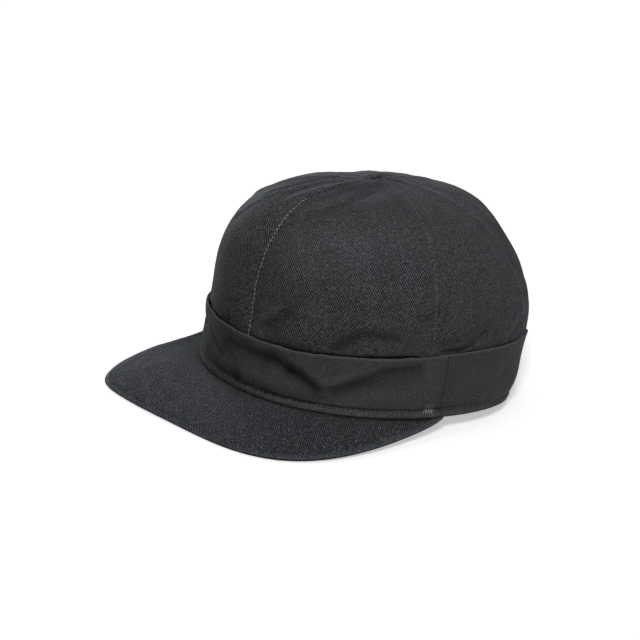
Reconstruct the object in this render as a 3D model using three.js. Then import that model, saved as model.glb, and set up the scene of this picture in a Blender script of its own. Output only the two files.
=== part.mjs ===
// A soft work cap: six sewn crown panels, a doubled band in two lengths and a covered, bound peak.
// Millimetres, +Z up. The peak points to -Y and the wearer's left is +X.
// The origin lies on the resting surface, under the middle of the cap's length.
import * as THREE from 'three';

const DEG = Math.PI / 180;

// Cloth and clearances
const CROWN_CLOTH = 1.5;
const BAND_CLOTH = 2.0;
const PEAK_COVER = 2.0;
const PEAK_RIM = 0.8;
const PEAK_LINING = 1.0;
const BINDING = 1.0;
const BINDING_WIDTH = 3.0;
const GAP = 0.3;

// Head opening at the hem: half sizes, the power of its oval, and how it curves up and down
const OVAL_POWER = 2.1;
const RIM = { halfLength: 99.5, halfWidth: 91.3, back: 0, lift: 7.4, pitch: 5.5, saddle: 2.8 };

// Top edge of the band, which leans out at the back, and how far its free fold stands off the crown
const BAND_TOP = { halfLength: 106.5, halfWidth: 87.3, back: 7.4, lift: 43.2, pitch: 3.4, saddle: 3.8 };
const FLARE = { mm: 0.9, power: 4 };

// Crown: its highest point, the powers of its rounded profile round the head, how far its panels
// swell between their seams, and the small opening left where their tips meet
const APEX = { y: -3.9, z: 129.3 };
const PROFILE = { mean: 2.51, front: 0.28, ends: 0.36 };
const GORE_PUFF = { mm: 1.3, mean: 0.3, across: 0.8, along: 1.2 };
const TIP_RADIUS = 1.2;
const TIP_HEIGHT = 0.975;
const SEAM_ANGLES = { frontToSide: 67.5, sideToBack: 115 };

// Peak: how far round it is sewn on, how far it reaches, where its board starts to thin towards
// the rim, and how much of the angle to each end is bound
const PEAK = {
  endAngle: 75,
  halfWidth: 91.3,
  reach: 55.9,
  power: 3.7,
  droop: 1.85,
  dome: 0.014,
  tuck: 6,
  thinning: 6,
  boundAngle: 70,
};

// Middle of the cap's length, measured from the middle of the head opening
const MIDDLE_Y = -20.25;

// Lengths that turn the folds' degrees and heights into mm
const HEAD_RADIUS = 95;
const BAND_HEIGHT = 36;
const CROWN_ARC = 150;

// Folds of the band: each runs from an angle to an angle, in degrees from the front, and from a
// start height to an end height, as parts of the band's height. Depth and spread are in mm, and a
// negative depth stands out.
const BAND_FOLDS = [
  { fold: 'front diagonal, upper', from: -9, to: 12, start: 0.76, end: 0.62, depth: 2.0, spread: 5 },
  { fold: 'front diagonal, lower', from: 12, to: 31, start: 0.62, end: 0.24, depth: 2.0, spread: 5 },
  { fold: 'left front, rising', from: 34, to: 52, start: 0.34, end: 0.82, depth: 1.7, spread: 5 },
  { fold: 'left front, level', from: 52, to: 65, start: 0.82, end: 0.85, depth: 1.4, spread: 4 },
  { fold: 'right front', from: -42, to: -9, start: 0.6, end: 0.48, depth: 1.5, spread: 5 },
  { fold: 'right front, standing off', from: -58, to: -36, start: 0.92, end: 0.92, depth: -1.7, spread: 9 },
  { fold: 'left joint', from: 75.4, to: 75.6, start: 0.2, end: 0.95, depth: 1.0, spread: 4 },
  { fold: 'left back, full', from: 118, to: 140, start: 0.45, end: 0.55, depth: -1.5, spread: 12 },
  { fold: 'back, leaning', from: 150, to: 174, start: 0.7, end: 0.35, depth: 1.4, spread: 7 },
  { fold: 'right joint', from: -75.4, to: -75.6, start: 0.2, end: 0.95, depth: 1.0, spread: 4 },
  { fold: 'right back, leaning', from: -128, to: -98, start: 0.3, end: 0.7, depth: 1.5, spread: 7 },
];

// Dents of the crown, in the same columns: heights run from 0 at the band to 1 at the panels' tips
const CROWN_DENTS = [
  { dent: 'beside the front seam', from: 5, to: 12, start: 0.07, end: 0.15, depth: 2.4, spread: 8 },
  { dent: 'puff beside it', from: 16, to: 22, start: 0.05, end: 0.08, depth: -1.2, spread: 7 },
  { dent: 'left front, lower', from: 36, to: 39, start: 0.06, end: 0.1, depth: 1.7, spread: 6 },
  { dent: 'left front, upper', from: 44, to: 51, start: 0.11, end: 0.13, depth: 1.4, spread: 7 },
  { dent: 'left tuck', from: 74, to: 90, start: 0.08, end: 0.16, depth: 2.0, spread: 6 },
  { dent: 'right of the front seam', from: -17, to: -13, start: 0.03, end: 0.06, depth: 1.6, spread: 6 },
  { dent: 'top front', from: 16, to: 34, start: 0.74, end: 0.78, depth: 2.2, spread: 13 },
  { dent: 'top front crease', from: 9, to: 30, start: 0.54, end: 0.7, depth: 1.0, spread: 8 },
  { dent: 'left back, flat', from: 138, to: 147, start: 0.38, end: 0.47, depth: 3.4, spread: 13 },
  { dent: 'back, corner', from: 152, to: 168, start: 0.57, end: 0.62, depth: -1.5, spread: 13 },
  { dent: 'right front, full', from: -50, to: -47, start: 0.12, end: 0.5, depth: -1.0, spread: 14 },
  { dent: 'back, low', from: 158, to: 170, start: 0.1, end: 0.2, depth: 1.8, spread: 9 },
  { dent: 'right side, low', from: -92, to: -78, start: 0.08, end: 0.16, depth: 1.8, spread: 8 },
  { dent: 'right back, middle', from: -150, to: -128, start: 0.3, end: 0.45, depth: 1.6, spread: 14 },
];

// Rows of the surfaces: heights on the band, steps of the crown and steps out along the peak
const BAND_ROWS = [0, 0.13, 0.3, 0.46, 0.62, 0.78, 0.9, 1];
const CROWN_HEM_ROW = 1;
const CROWN_STEPS = 13;
const PEAK_ROWS = [0, 0.14, 0.32, 0.5, 0.68, 0.84, 0.93, 1];
const BINDING_ANGLES = [90, 45, 0, -45, -90];
const PANEL_COLUMNS = { front: 12, side: 12, back: 11 };
const JOINT_COLUMN = 2;
const PEAK_COLUMNS = 26;
const PEAK_LINING_ROWS = [0, 0.32, 0.68, 1];

// The board's rim lies inside its binding
const RIM_INSET = BINDING + GAP;

// Hem crease and the soft start of the crown above the band
const HEM_CREASE = { height: 0.13, depth: 0.5, spread: 2.5 };
const TUCK_IN = { span: 0.035, power: 2 };

// Steps over which a surface's slope is taken, in degrees and as a part of its height
const SLOPE_STEP = { angle: 1, height: 0.01 };

function signedPower(value, power) {
  return Math.sign(value) * Math.abs(value) ** power;
}

// A point of an oval at an angle in degrees from the front, growing towards the wearer's left
function oval(angle, { halfLength, halfWidth, back }) {
  const power = 2 / OVAL_POWER;
  const x = halfWidth * signedPower(Math.sin(angle * DEG), power);
  const y = back - halfLength * signedPower(Math.cos(angle * DEG), power);
  return new THREE.Vector2(x, y);
}

function wave(angle, { lift, pitch, saddle }) {
  return lift + pitch * Math.cos(angle * DEG) - saddle * Math.cos(2 * angle * DEG);
}

// The hem lies flat on the surface where its wave would reach below it
function rimPoint(angle) {
  const plan = oval(angle, RIM);
  return new THREE.Vector3(plan.x, plan.y, Math.max(0, wave(angle, RIM)));
}

function bandTopPoint(angle) {
  const plan = oval(angle, BAND_TOP);
  return new THREE.Vector3(plan.x, plan.y, wave(angle, BAND_TOP));
}

// Depth of all folds of a table at one place, where the scales are mm for a degree and a height of 1
function foldDepth(folds, angle, height, mmPerDegree, mmPerHeight) {
  let depth = 0;
  for (const fold of folds) {
    const px = wrap(angle - fold.from) * mmPerDegree;
    const py = (height - fold.start) * mmPerHeight;
    const dx = (fold.to - fold.from) * mmPerDegree;
    const dy = (fold.end - fold.start) * mmPerHeight;
    const along = THREE.MathUtils.clamp((px * dx + py * dy) / (dx * dx + dy * dy), 0, 1);
    const distance = Math.hypot(px - along * dx, py - along * dy);
    depth += fold.depth * Math.exp(-((distance / fold.spread) ** 2));
  }
  return depth;
}

function wrap(angle) {
  return angle - 360 * Math.round(angle / 360);
}

// Level direction out of the head
function outward(angle) {
  const ahead = oval(angle + SLOPE_STEP.angle, BAND_TOP);
  const behind = oval(angle - SLOPE_STEP.angle, BAND_TOP);
  return new THREE.Vector3(ahead.y - behind.y, behind.x - ahead.x, 0).normalize();
}

// A point of the band, inset from its outer face. Folds fade towards the hem, and those that go
// in fade towards the top edge too.
function bandPoint(angle, height, inset) {
  const point = rimPoint(angle).lerp(bandTopPoint(angle), height);
  const folds = foldDepth(BAND_FOLDS, angle, height, HEAD_RADIUS * DEG, BAND_HEIGHT);
  const standsOff = folds < 0 && height > 0.5;
  const fade = standsOff ? 1 : Math.sqrt(Math.sin(Math.PI * height));
  const creaseOffset = ((height - HEM_CREASE.height) * BAND_HEIGHT) / HEM_CREASE.spread;
  const crease = HEM_CREASE.depth * Math.exp(-(creaseOffset ** 2));
  return point.addScaledVector(outward(angle), -(folds * fade + crease + inset));
}

// Crown panels, with their seams' angles and the columns that they are cut into
const { frontToSide, sideToBack } = SEAM_ANGLES;
const PANELS = [
  { name: 'crown_front_left', from: 0, to: frontToSide, columns: PANEL_COLUMNS.front },
  { name: 'crown_side_left', from: frontToSide, to: sideToBack, columns: PANEL_COLUMNS.side },
  { name: 'crown_back_left', from: sideToBack, to: 180, columns: PANEL_COLUMNS.back },
  { name: 'crown_back_right', from: -180, to: -sideToBack, columns: PANEL_COLUMNS.back },
  { name: 'crown_side_right', from: -sideToBack, to: -frontToSide, columns: PANEL_COLUMNS.side },
  { name: 'crown_front_right', from: -frontToSide, to: 0, columns: PANEL_COLUMNS.front },
];

// The panels swell between their seams, most of all at half height
function gorePuff(angle, height) {
  const size = Math.abs(wrap(angle));
  const { from, to } = PANELS.find((panel) => size >= panel.from && size <= panel.to);
  const across = (size - from) / (to - from);
  const { mm, mean, across: sharpness, along } = GORE_PUFF;
  return mm * (Math.sin(Math.PI * across) ** sharpness - mean) * Math.sin(Math.PI * height) ** along;
}

// A point of the crown's outer face: height 0 at the band's top edge, 1 at the tip of the panels
function crownPoint(angle, height) {
  const swell = height * height * (3 - 2 * height);
  const rise = (swell * Math.PI) / 2;
  const { mean, front, ends } = PROFILE;
  const power = 2 / (mean + front * Math.cos(angle * DEG) + ends * Math.cos(2 * angle * DEG));
  const base = bandTopPoint(angle);
  const spread = Math.max(Math.cos(rise), 0) ** power;
  const lift = Math.sin(rise) ** power;
  const point = new THREE.Vector3(
    base.x * spread,
    APEX.y + (base.y - APEX.y) * spread,
    base.z + (APEX.z - base.z) * lift,
  );
  const middle = new THREE.Vector3(0, APEX.y, base.z);
  const out = point.clone().sub(middle).normalize();
  const mmPerDegree = HEAD_RADIUS * DEG * spread;
  const dents = foldDepth(CROWN_DENTS, angle, height, mmPerDegree, CROWN_ARC);
  const fade = Math.min(1, height / TUCK_IN.span);
  const tuckIn = (BAND_CLOTH + GAP) * (1 - fade) ** TUCK_IN.power;
  return point.addScaledVector(out, gorePuff(angle, height) - dents * fade - tuckIn);
}

// The direction into the cloth, from the surface's own slopes
function inward(surface, angle, height) {
  const low = Math.max(height - SLOPE_STEP.height, 0);
  const high = Math.min(height + SLOPE_STEP.height, 1);
  const round = surface(angle + SLOPE_STEP.angle, height).sub(surface(angle - SLOPE_STEP.angle, height));
  const up = surface(angle, high).sub(surface(angle, low));
  return up.cross(round).normalize();
}

// A closed solid through sections that each hold as many outer points as inner ones.
// Both faces are split along the same diagonals, so that layers of cloth lie parallel.
function loft(sections) {
  const rows = sections[0].outer.length;
  const ring = 2 * rows;
  const positions = [];
  for (const { outer, inner } of sections) {
    for (const point of [...outer, ...inner.toReversed()]) {
      positions.push(point.x, point.y, point.z);
    }
  }
  const index = [];
  const quad = (a, b, c, d) => index.push(a, b, c, a, c, d);
  for (let column = 0; column < sections.length - 1; column += 1) {
    const here = column * ring;
    const next = here + ring;
    for (let k = 0; k < ring; k += 1) {
      const after = (k + 1) % ring;
      if (k < rows) {
        quad(here + k, next + k, next + after, here + after);
      } else {
        quad(next + k, next + after, here + after, here + k);
      }
    }
  }
  const last = (sections.length - 1) * ring;
  for (let row = 0; row < rows - 1; row += 1) {
    const back = ring - 1 - row;
    quad(row, row + 1, back - 1, back);
    quad(last + row, last + back, last + back - 1, last + row + 1);
  }
  const geometry = new THREE.BufferGeometry();
  geometry.setAttribute('position', new THREE.Float32BufferAttribute(positions, 3));
  geometry.setIndex(index);
  geometry.computeVertexNormals();
  return geometry;
}

// A crown panel: down inside the band to its hem crease, and up to its tip
function crownPanel({ from, to, columns }) {
  const inset = BAND_CLOTH + GAP;
  const sections = [];
  for (let column = 0; column <= columns; column += 1) {
    const across = column / columns;
    const outer = [];
    const inner = [];
    for (const height of BAND_ROWS.slice(CROWN_HEM_ROW, -1)) {
      const angle = insidePanel(from, to, across, RIM.halfWidth);
      outer.push(bandPoint(angle, height, inset));
      inner.push(bandPoint(angle, height, inset + CROWN_CLOTH));
    }
    for (const height of crownHeights()) {
      const centre = crownPoint((from + to) / 2, height);
      const angle = insidePanel(from, to, across, Math.hypot(centre.x, centre.y - APEX.y));
      const point = crownPoint(angle, height);
      outer.push(point);
      inner.push(point.clone().addScaledVector(inward(crownPoint, angle, height), CROWN_CLOTH));
    }
    sections.push({ outer, inner });
  }
  return loft(sections);
}

// Heights of the crown's rows: two close to the band, then even steps, and the tip's small end
function crownHeights() {
  const heights = [0, TUCK_IN.span];
  for (let step = 1; step < CROWN_STEPS; step += 1) {
    heights.push(step / CROWN_STEPS);
  }
  heights.push(TIP_HEIGHT);
  return heights;
}

// The angle at a part of the way across a panel that stays clear of both seams at this radius
function insidePanel(from, to, across, radius) {
  const clear = GAP / 2 / Math.max(radius, TIP_RADIUS) / DEG;
  return THREE.MathUtils.lerp(from + clear, to - clear, across);
}

// A length of the band, on the crown's own columns
function bandLength(from, to) {
  const clear = GAP / 2 / RIM.halfWidth / DEG;
  const angles = [from + clear, ...columnAngles(from, to), to - clear];
  const stand = (height) => FLARE.mm * height ** FLARE.power;
  const face = (angle, inset) => BAND_ROWS.map((height) => bandPoint(angle, height, inset - stand(height)));
  return loft(angles.map((angle) => ({ outer: face(angle, 0), inner: face(angle, BAND_CLOTH) })));
}

// Column angles of all panels that lie between two angles, with room for the ends
function columnAngles(from, to) {
  const angles = [];
  for (const turn of [0, 360]) {
    for (const panel of PANELS) {
      for (let column = 0; column < panel.columns; column += 1) {
        angles.push(turn + THREE.MathUtils.lerp(panel.from, panel.to, column / panel.columns));
      }
    }
  }
  return angles.filter((angle) => angle > from + 1 && angle < to - 1).sort((a, b) => a - b);
}

// Free edge of the peak at a direction in degrees from the front, at the middle of its board
function peakEdge(direction) {
  const end = rimPoint(PEAK.endAngle);
  const front = end.y + RIM.halfLength + PEAK.reach;
  const { power } = PEAK;
  const ahead = Math.cos(direction * DEG);
  const aside = Math.sin(direction * DEG);
  const share = (Math.abs(ahead) / front) ** power + (Math.abs(aside) / PEAK.halfWidth) ** power;
  const radius = share ** (-1 / power);
  const y = end.y - radius * ahead;
  const along = 1 - (radius * ahead) / front;
  const narrowing = 1 - (1 - end.x / PEAK.halfWidth) * along ** PEAK.tuck;
  const low = PEAK_RIM / 2 + GAP + BINDING;
  const z = low + (end.z - GAP - PEAK_COVER / 2 - low) * along ** PEAK.droop;
  return new THREE.Vector3(radius * aside * narrowing, y, z);
}

// A line across the peak, from under the band out to its free edge. Its points lie at an inset from
// that edge, on a side of the board (1 above, -1 below) and so many mm away from it.
function peakLine(angle) {
  const inner = rimPoint(angle).addScaledVector(outward(angle), -BAND_CLOTH);
  inner.z -= GAP + PEAK_COVER / 2;
  const edge = peakEdge((angle * 90) / PEAK.endAngle);
  const span = edge.clone().sub(inner);
  const length = Math.hypot(span.x, span.y);
  const point = (inset, side, away) => {
    const row = 1 - inset / length;
    const thick = THREE.MathUtils.smoothstep(inset, RIM_INSET, PEAK.thinning);
    const half = THREE.MathUtils.lerp(PEAK_RIM, PEAK_COVER, thick) / 2;
    const middle = inner.clone().addScaledVector(span, row);
    middle.z += 4 * row * (1 - row) * PEAK.dome * length + side * (half + away);
    return middle;
  };
  return { length, point };
}

// The covered board, which thins towards its rim
function peakCover() {
  const sections = peakAngles().map((angle) => {
    const { length, point } = peakLine(angle);
    const insets = peakInsets(PEAK_ROWS, length, Math.min(RIM_INSET, length / 2));
    return {
      outer: insets.map((inset) => point(inset, 1, 0)),
      inner: insets.map((inset) => point(inset, -1, 0)),
    };
  });
  return loft(sections);
}

// The thin cloth under the peak, which ends short of the binding's lower leg
function peakLining() {
  const sections = peakAngles().map((angle) => {
    const { length, point } = peakLine(angle);
    const insets = peakInsets(PEAK_LINING_ROWS, length, bindingWidth(length) + GAP);
    return {
      outer: insets.map((inset) => point(inset, -1, GAP)),
      inner: insets.map((inset) => point(inset, -1, GAP + PEAK_LINING)),
    };
  });
  return loft(sections);
}

// The strip of cloth that is folded round the rim
function peakBinding() {
  const bound = peakAngles().filter((angle) => Math.abs(angle) < PEAK.boundAngle);
  const sections = bound.map((angle) => {
    const { length, point } = peakLine(angle);
    const face = (away, nose) => [
      point(bindingWidth(length), 1, away),
      ...BINDING_ANGLES.map((turn) => {
        return point(RIM_INSET - nose * Math.cos(turn * DEG), Math.sin(turn * DEG), away);
      }),
      point(bindingWidth(length), -1, away),
    ];
    return { outer: face(GAP + BINDING, RIM_INSET), inner: face(GAP, GAP) };
  });
  return loft(sections);
}

// Insets from the free edge for rows that run from under the band out to the last inset
function peakInsets(rows, length, last) {
  return rows.map((row) => THREE.MathUtils.lerp(length, last, row));
}

// The binding's legs narrow where the peak does
function bindingWidth(length) {
  return Math.min(BINDING_WIDTH, length / 2 - GAP);
}

function peakAngles() {
  const angles = [];
  for (let column = 0; column <= PEAK_COLUMNS; column += 1) {
    angles.push(PEAK.endAngle * (1 - (2 * column) / PEAK_COLUMNS));
  }
  return angles;
}

const CROWN_TWILL = { color: 0x3b3c3e, roughness: 0.92, metalness: 0 };
const BAND_TWILL = { color: 0x303132, roughness: 0.92, metalness: 0 };
const PEAK_TWILL = { color: 0x35363a, roughness: 0.9, metalness: 0 };
const LINING_TWILL = { color: 0x202124, roughness: 0.92, metalness: 0 };
const BINDING_TWILL = { color: 0x45484e, roughness: 0.9, metalness: 0 };

// The band's lengths meet on a column of the side panels
const jointAngle = THREE.MathUtils.lerp(frontToSide, sideToBack, JOINT_COLUMN / PANEL_COLUMNS.side);

const cap = new THREE.Group();
cap.position.y = -MIDDLE_Y;

function addPiece(name, geometry, cloth) {
  const mesh = new THREE.Mesh(geometry, new THREE.MeshStandardMaterial(cloth));
  mesh.name = name;
  cap.add(mesh);
}

for (const panel of PANELS) {
  addPiece(panel.name, crownPanel(panel), CROWN_TWILL);
}
addPiece('band_front', bandLength(-jointAngle, jointAngle), BAND_TWILL);
addPiece('band_back', bandLength(jointAngle, 360 - jointAngle), BAND_TWILL);
addPiece('peak_cover', peakCover(), PEAK_TWILL);
addPiece('peak_lining', peakLining(), LINING_TWILL);
addPiece('peak_binding', peakBinding(), BINDING_TWILL);

export default cap;
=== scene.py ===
# A soft twill work cap lying on a white floor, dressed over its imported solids.
# As in the part's source, surfaces are worked out in mm about the middle of the head opening: angles in
# degrees from the front towards the wearer's left, heights as parts of a face.
import math

import bpy
import numpy as np
from mathutils import Matrix, Vector


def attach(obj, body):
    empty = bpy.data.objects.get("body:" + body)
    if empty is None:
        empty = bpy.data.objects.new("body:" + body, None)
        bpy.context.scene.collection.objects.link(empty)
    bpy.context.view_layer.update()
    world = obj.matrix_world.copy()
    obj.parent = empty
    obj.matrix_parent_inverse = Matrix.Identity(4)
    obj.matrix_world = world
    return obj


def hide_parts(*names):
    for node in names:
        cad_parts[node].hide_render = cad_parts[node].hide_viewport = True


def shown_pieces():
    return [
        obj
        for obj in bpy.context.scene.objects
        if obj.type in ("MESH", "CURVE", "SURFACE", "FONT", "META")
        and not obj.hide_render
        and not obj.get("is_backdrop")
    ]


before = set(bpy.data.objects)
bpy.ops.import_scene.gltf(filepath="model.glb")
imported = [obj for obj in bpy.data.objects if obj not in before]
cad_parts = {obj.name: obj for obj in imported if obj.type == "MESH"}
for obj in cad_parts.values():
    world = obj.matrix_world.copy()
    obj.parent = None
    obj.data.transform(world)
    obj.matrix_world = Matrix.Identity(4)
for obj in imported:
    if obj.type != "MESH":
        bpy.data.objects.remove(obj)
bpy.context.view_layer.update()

MM = 0.001
BODY = "root"
# The place in the source's mm that lies over the frame's origin
MIDDLE_Y = -20.25

# Cloth and clearances, as in the source
CROWN_CLOTH = 1.5
BAND_CLOTH = 2
PEAK_COVER = 2
PEAK_RIM = 0.8
PEAK_LINING = 1
BINDING = 1
BINDING_WIDTH = 3
GAP = 0.3
RIM_INSET = BINDING + GAP

# The main forms, as in the source. The peak's ends run 2.5 degrees further under the band.
OVAL_POWER = 2.1
RIM = dict(plan=(99.5, 91.3, 0), wave=(7.4, 5.5, 2.8))
BAND_TOP = dict(plan=(106.5, 87.3, 7.4), wave=(43.2, 3.4, 3.8))
FLARE = dict(mm=0.9, power=4)
APEX = np.array([0, -3.9, 129.3])
PROFILE = dict(mean=2.51, front=0.28, ends=0.36)
GORE_PUFF = dict(mm=1.3, mean=0.3, across=0.8, along=1.2)
SEAMS = (0, 67.5, 115, 180)
JOINT = SEAMS[1] + (SEAMS[2] - SEAMS[1]) / 6
TUCK_IN = dict(span=0.035, power=2)
PEAK = dict(end=77.5, half_width=91.3, reach=55.9, power=3.7, droop=1.85, dome=0.014, tuck=6, thinning=6)

# Lengths of cloth that turn angles and heights into mm
HEAD_RADIUS = 95
BAND_HEIGHT = 36
CROWN_ARC = 150
DEGREE = math.radians(1)
DEGREE_MM = HEAD_RADIUS * DEGREE
BAND_SCALES = DEGREE_MM, BAND_HEIGHT

# Folds: from and to in degrees, start and end in heights, depth and spread in mm
BAND_FOLDS = [
    (-9, 12, 0.77, 0.74, 2, 5),
    (12, 30, 0.74, 0.28, 2, 5),
    (34, 52, 0.34, 0.73, 1.7, 5),
    (52, 65, 0.73, 0.82, 1.4, 4),
    (-42, -9, 0.6, 0.48, 1.5, 5),
    (-58, -36, 0.92, 0.92, -1.7, 9),
    (75.4, 75.6, 0.2, 0.95, 1, 4),
    (118, 140, 0.45, 0.55, -1.5, 12),
    (150, 174, 0.7, 0.35, 1.4, 7),
    (-75.4, -75.6, 0.2, 0.95, 1, 4),
    (-128, -98, 0.3, 0.7, 1.5, 7),
    (110, 126, 0.26, 0.26, -1.3, 9),
]
CROWN_DENTS = [
    (5, 12, 0.07, 0.15, 2.4, 8),
    (16, 22, 0.05, 0.08, -1.2, 7),
    (36, 39, 0.06, 0.1, 1.7, 6),
    (44, 51, 0.11, 0.13, 1.4, 7),
    (74, 90, 0.08, 0.16, 2, 6),
    (-17, -13, 0.03, 0.06, 1.6, 6),
    (16, 34, 0.74, 0.78, 2.2, 13),
    (9, 30, 0.54, 0.7, 1, 8),
    (138, 147, 0.38, 0.47, 3.4, 13),
    (152, 168, 0.57, 0.62, -1.5, 13),
    (-50, -47, 0.12, 0.5, -1, 14),
    (158, 170, 0.1, 0.2, 1.8, 9),
    (-92, -78, 0.08, 0.16, 1.8, 8),
    (-150, -128, 0.3, 0.45, 1.6, 14),
]

# Sharper creases: a line of (angle, height), its depth and spread, and the lip above it, in mm
FALL_LINE = [(-9, 0.75), (0, 0.74), (8, 0.74), (12, 0.73), (16, 0.65), (20, 0.6), (24, 0.49), (28, 0.36)]
RISE_LINE = [(35, 0.36), (38, 0.42), (44, 0.55), (47.5, 0.62), (51, 0.7), (54.5, 0.75), (64, 0.8)]
BAND_CREASES = [
    (FALL_LINE, 0.9, 2.8, 0.4),
    (RISE_LINE, 0.9, 2.6, 0.3),
    ([(-44, 0.5), (-32, 0.74), (-22, 0.56), (-14, 0.42)], 0.9, 1.8, 0.1),
    ([(-74, 0.42), (-62, 0.6), (-52, 0.66)], 0.8, 1.8, 0.4),
    ([(92, 0.38), (106, 0.5), (118, 0.54)], 0.25, 3, 0.1),
    ([(150, 0.66), (164, 0.5), (178, 0.34)], 0.9, 1.8, 0.5),
    ([(-150, 0.34), (-138, 0.5), (-120, 0.72)], 0.9, 1.8, 0.5),
]
CROWN_CREASES = [
    ([(5, 0.07), (9, 0.11), (13, 0.145)], 0.8, 2.2, 0.4),
    ([(34, 0.05), (37, 0.085), (39.5, 0.1)], 0.9, 2.6, 0.2),
    ([(41.5, 0.125), (46, 0.135), (54, 0.122)], 0.7, 3, 0.2),
    ([(73, 0.055), (77, 0.062), (81, 0.07), (85, 0.1), (87.3, 0.128), (90.3, 0.165)], 1.2, 1.7, 0.3),
    ([(-18, 0.012), (-13, 0.04)], 0.8, 1.8, 0.3),
    ([(9.5, 0.54), (16, 0.59), (22, 0.63), (28, 0.7), (34.5, 0.76)], 0.5, 2.6, 0.3),
    ([(-36, 0.4), (-25, 0.52), (-19, 0.6), (-16, 0.68), (-19, 0.78), (-25, 0.85)], -0.75, 1.8, 0),
    ([(-46, 0.5), (-38, 0.58), (-32, 0.68), (-32, 0.8)], -0.8, 1.8, 0),
    ([(-9, 0.56), (-6.5, 0.62), (-2.5, 0.7), (0.5, 0.8)], -0.7, 1.6, 0),
    ([(-29, 0.53), (-22.5, 0.62), (-20, 0.7), (-24, 0.8)], 0.7, 2, 0),
    ([(-13, 0.6), (-9, 0.7), (-8, 0.8)], 0.6, 2, 0),
    ([(127, 0.46), (121, 0.42)], 3, 8, 0),
    ([(-41, 0.66), (-50, 0.71)], -1, 9, 0),
    ([(150, 0.47), (136, 0.42)], 1.6, 9, 0),
    ([(104, 0.1), (110, 0.16), (120, 0.19)], 0.7, 2.4, 0.4),
    ([(150, 0.08), (162, 0.13), (170, 0.2)], 0.8, 2.2, 0.4),
    ([(-140, 0.07), (-126, 0.12), (-118, 0.2)], 0.8, 2.2, 0.4),
    ([(-96, 0.06), (-84, 0.11), (-76, 0.12)], 0.8, 2.2, 0.4),
]

# Puckers at the top in mm from the apex: the dark one and the ridge behind it
APEX_CREASES = [
    ([(0.2, -8), (1, -1.5), (1.4, 2.5), (0.6, 8), (-1.5, 14.6)], 0.45, 1.1, 0),
    ([(-3.4, -4.5), (-2.6, 0), (-2.2, 4), (-3.4, 9)], -1.2, 2, 0),
]
# Painted shade along the dark pucker, in mm from the apex, drawn like the creases
APEX_SHADE = [
    ([(-1.2, -9.5), (-0.6, -5), (0.3, -1.5), (0.6, 2.5)], 0.7, 0.75, 0),
    ([(0.6, 2.5), (0.6, 4), (0, 8), (-2.2, 14.6)], 0.45, 0.7, 0),
]

# Painted shade in hollows, and painted highlight where the share is negative: from, to, start, end, share,
# spread
CROWN_SHADES = [
    (73, 79, 0.055, 0.062, 0.4, 3),
    (79, 90.2, 0.062, 0.162, 0.28, 2.4),
    (35, 39, 0.06, 0.085, 0.35, 3.5),
    (38, 54, 0.125, 0.12, 0.2, 6),
    (5, 13, 0.07, 0.14, 0.2, 3),
    (76, 100, 0.22, 0.34, 0.09, 22),
    (-19, -13, 0.01, 0.04, 0.35, 2.5),
    (8, 36, 0.76, 0.84, 0.34, 9),
    (-34, -24, 0.28, 0.5, 0.16, 9),
    (-52, -44, 0.35, 0.5, 0.2, 8),
    (14, 40, 0.4, 0.5, -0.08, 18),
]
BAND_SHADES = [
    (-12, 8, 0.72, 0.7, 0.5, 5.5),
    (8, 18, 0.7, 0.6, 0.4, 5),
    (18, 29, 0.6, 0.36, 0.5, 5),
    (12, 24, 0.82, 0.68, 0.25, 4.5),
    (33, 40, 0.26, 0.43, 0.45, 4.5),
    (44, 64, 0.53, 0.76, 0.5, 4.5),
    (-66, -50, 0.55, 0.45, 0.3, 7),
    (-34, -24, 0.7, 0.5, 0.25, 3.5),
    (-28, -4, 0.3, 0.22, 0.65, 4.5),
    (-4, 29, 0.23, 0.2, 0.5, 3.8),
    (-6, 14, 0.36, 0.32, -0.16, 4),
    (75, 76, 0.2, 0.9, 0.2, 2),
    (77, 79, 0.25, 0.95, 0.16, 5),
]


# Shared shapes and steps

def bell(value, middle, spread):
    """1 at the middle, with a soft fall to 0 on both sides"""
    return np.exp(-(((value - middle) / spread) ** 2))


def humps(rows, value):
    """A sum of bells, each given by its size, middle and spread"""
    return sum(size * bell(value, middle, spread) for size, middle, spread in rows)


def above(value, middle, softness):
    """A soft step: 0 well below the middle, 1 well above it"""
    return 1 / (1 + np.exp((middle - value) / softness))


def below(value, middle, softness):
    return 1 / (1 + np.exp((value - middle) / softness))


def clamp(value):
    return np.clip(value, 0, 1)


def arch(height):
    """0 at the lower and upper edge of a face, 1 half way up"""
    return np.sin(np.pi * clamp(height))


def wrap(angle):
    return angle - 360 * np.round(angle / 360)


def unit(vectors):
    return vectors / np.maximum(np.linalg.norm(vectors, axis=-1, keepdims=True), 1e-9)


def grid(angle, height):
    return np.broadcast_arrays(np.asarray(angle, float), np.asarray(height, float))


def run_length(points, axis):
    """The distance run along an axis of a grid of points, from 0"""
    runs = np.cumsum(np.linalg.norm(np.diff(points, axis=axis), axis=-1), axis=axis)
    return np.concatenate([0 * np.take(runs, [0], axis), runs], axis=axis)


def face_normal(face, angle, height, degrees, step):
    """The outward direction of a face, from points some degrees and a step of height away"""
    low, high = np.maximum(height - step, 0), np.minimum(height + step, 1)
    around = face(angle + degrees, height) - face(angle - degrees, height)
    return unit(np.cross(around, face(angle, high) - face(angle, low)))


def along_line(angle, height, scales, start, end):
    """The distance in mm from one stretch of a fold, and the side of it: 1 above, -1 below"""
    per_degree, per_height = scales
    px = wrap(angle - start[0]) * per_degree
    py = (height - start[1]) * per_height
    dx = (end[0] - start[0]) * per_degree
    dy = (end[1] - start[1]) * per_height
    share = clamp((px * dx + py * dy) / (dx * dx + dy * dy))
    distance = np.hypot(px - share * dx, py - share * dy)
    side = np.sign((dx * py - dy * px) * np.sign(dx))
    return distance, side


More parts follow.
